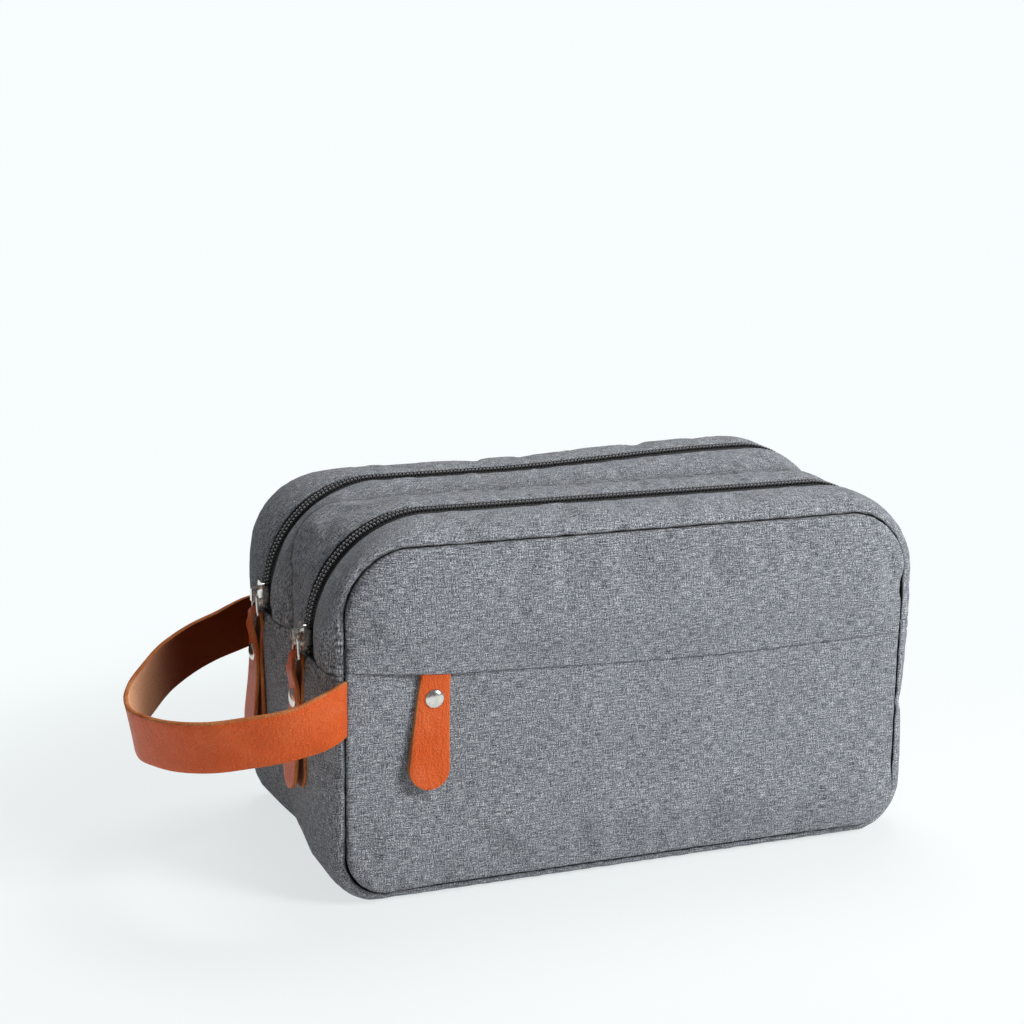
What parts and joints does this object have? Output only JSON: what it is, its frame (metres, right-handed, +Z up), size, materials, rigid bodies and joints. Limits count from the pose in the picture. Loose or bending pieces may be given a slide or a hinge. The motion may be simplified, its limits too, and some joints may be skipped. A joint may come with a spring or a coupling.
{
  "type": "toiletry bag",
  "caption": "Soft rectangular wash bag with two zipped compartments side by side, a zipped front pocket, leather pull tabs and a leather carry strap on one end.",
  "frame": {"origin": "middle of the flat base that the bag stands on", "axes": "+X along the bag away from the strap end, -Y towards the front pocket, +Z up"},
  "size_m": [0.3341, 0.1518, 0.155],
  "materials": {
    "melange_cloth": "woven melange polyester",
    "lining": "smooth woven lining",
    "zip_tape": "black woven tape",
    "zip_coil": "nylon coil",
    "leather": "smooth tan leather, satin",
    "nickel": "polished nickel plate"
  },
  "bodies": {
    "root": {"bottom_gusset": "melange_cloth", "divider": "lining", "front_pocket_panel": "melange_cloth", "pocket_back_lining": "lining", "pocket_placket": "melange_cloth", "pocket_zip_tape_lower": "zip_tape", "pocket_zip_tape_upper": "zip_tape", "pocket_zip_coil_lower": "zip_coil", "pocket_zip_coil_upper": "zip_coil", "back_lower_panel": "melange_cloth", "back_lower_lining": "lining", "front_zip_tape_inner": "zip_tape", "front_zip_coil_inner": "zip_coil", "front_zip_tape_ends": "zip_tape", "front_zip_coil_ends": "zip_coil", "front_gusset_ends": "melange_cloth", "front_inner_gusset": "melange_cloth", "front_compartment_lining": "lining", "rear_zip_tape_inner": "zip_tape", "rear_zip_coil_inner": "zip_coil", "rear_zip_tape_ends": "zip_tape", "rear_zip_coil_ends": "zip_coil", "rear_gusset_ends": "melange_cloth", "rear_inner_gusset": "melange_cloth", "rear_compartment_lining": "lining"},
    "front_mouth": {"front_upper_panel": "melange_cloth", "front_upper_lining": "lining", "front_outer_gusset": "melange_cloth", "front_zip_tape_outer": "zip_tape", "front_zip_coil_outer": "zip_coil"},
    "rear_mouth": {"back_upper_panel": "melange_cloth", "back_upper_lining": "lining", "rear_outer_gusset": "melange_cloth", "rear_zip_tape_outer": "zip_tape", "rear_zip_coil_outer": "zip_coil"},
    "pocket_slider": {"pocket_slider_body": "nickel", "pocket_slider_crown": "nickel", "pocket_pull_ring": "nickel", "pocket_tab_fold": "leather"},
    "pocket_tab": {"pocket_pull_tab": "leather", "pocket_rivet_cap": "nickel", "pocket_rivet_post": "nickel"},
    "strap": {"carry_strap": "leather"},
    "front_slider": {"front_slider_body": "nickel", "front_slider_crown": "nickel"},
    "front_ring": {"front_pull_ring": "nickel"},
    "front_tab": {"front_pull_tab": "leather", "front_rivet_cap": "nickel", "front_rivet_post": "nickel"},
    "rear_slider": {"rear_slider_body": "nickel", "rear_slider_crown": "nickel"},
    "rear_ring": {"rear_pull_ring": "nickel"},
    "rear_tab": {"rear_pull_tab": "leather", "rear_rivet_cap": "nickel", "rear_rivet_post": "nickel"}
  },
  "joints": [
    {"name": "front_slider_travel", "type": "hinge", "parent": "root", "child": "front_slider", "pos_m": [-0.081, -0.034, 0.105], "axis": [0, 1, 0], "range_deg": [0, 90]},
    {"name": "front_ring_swing", "type": "hinge", "parent": "front_slider", "child": "front_ring", "pos_m": [-0.1347, -0.034, 0.105], "axis": [0, 1, 0], "range_deg": [0, 45]},
    {"name": "front_tab_swing", "type": "hinge", "parent": "front_ring", "child": "front_tab", "pos_m": [-0.1347, -0.034, 0.0965], "axis": [0, 1, 0], "range_deg": [0, 45]},
    {"name": "rear_slider_travel", "type": "hinge", "parent": "root", "child": "rear_slider", "pos_m": [-0.081, 0.034, 0.105], "axis": [0, 1, 0], "range_deg": [0, 90]},
    {"name": "rear_ring_swing", "type": "hinge", "parent": "rear_slider", "child": "rear_ring", "pos_m": [-0.1347, 0.034, 0.105], "axis": [0, 1, 0], "range_deg": [0, 28]},
    {"name": "rear_tab_swing", "type": "hinge", "parent": "rear_ring", "child": "rear_tab", "pos_m": [-0.1347, 0.034, 0.0965], "axis": [0, 1, 0], "range_deg": [0, 34]},
    {"name": "pocket_slider_travel", "type": "slide", "parent": "root", "child": "pocket_slider", "axis": [1, 0, 0], "range_m": [0, 0.17]},
    {"name": "pocket_tab_swing", "type": "hinge", "parent": "pocket_slider", "child": "pocket_tab", "pos_m": [-0.088, -0.0712, 0.0947], "axis": [-1, 0, 0], "range_deg": [0, 75]},
    {"name": "strap_swing", "type": "hinge", "parent": "root", "child": "strap", "pos_m": [-0.1252, 0, 0.0825], "axis": [0, 1, 0], "range_deg": [-28, 52], "stiffness_Nm_per_rad": 0.08, "springref_deg": 3.09},
    {"name": "front_mouth_opening", "type": "hinge", "parent": "root", "child": "front_mouth", "pos_m": [0, -0.0737, 0.112], "axis": [-1, 0, 0], "range_deg": [-60, 0]},
    {"name": "rear_mouth_opening", "type": "hinge", "parent": "root", "child": "rear_mouth", "pos_m": [0, 0.0737, 0.112], "axis": [1, 0, 0], "range_deg": [-60, 0]}
  ]
}
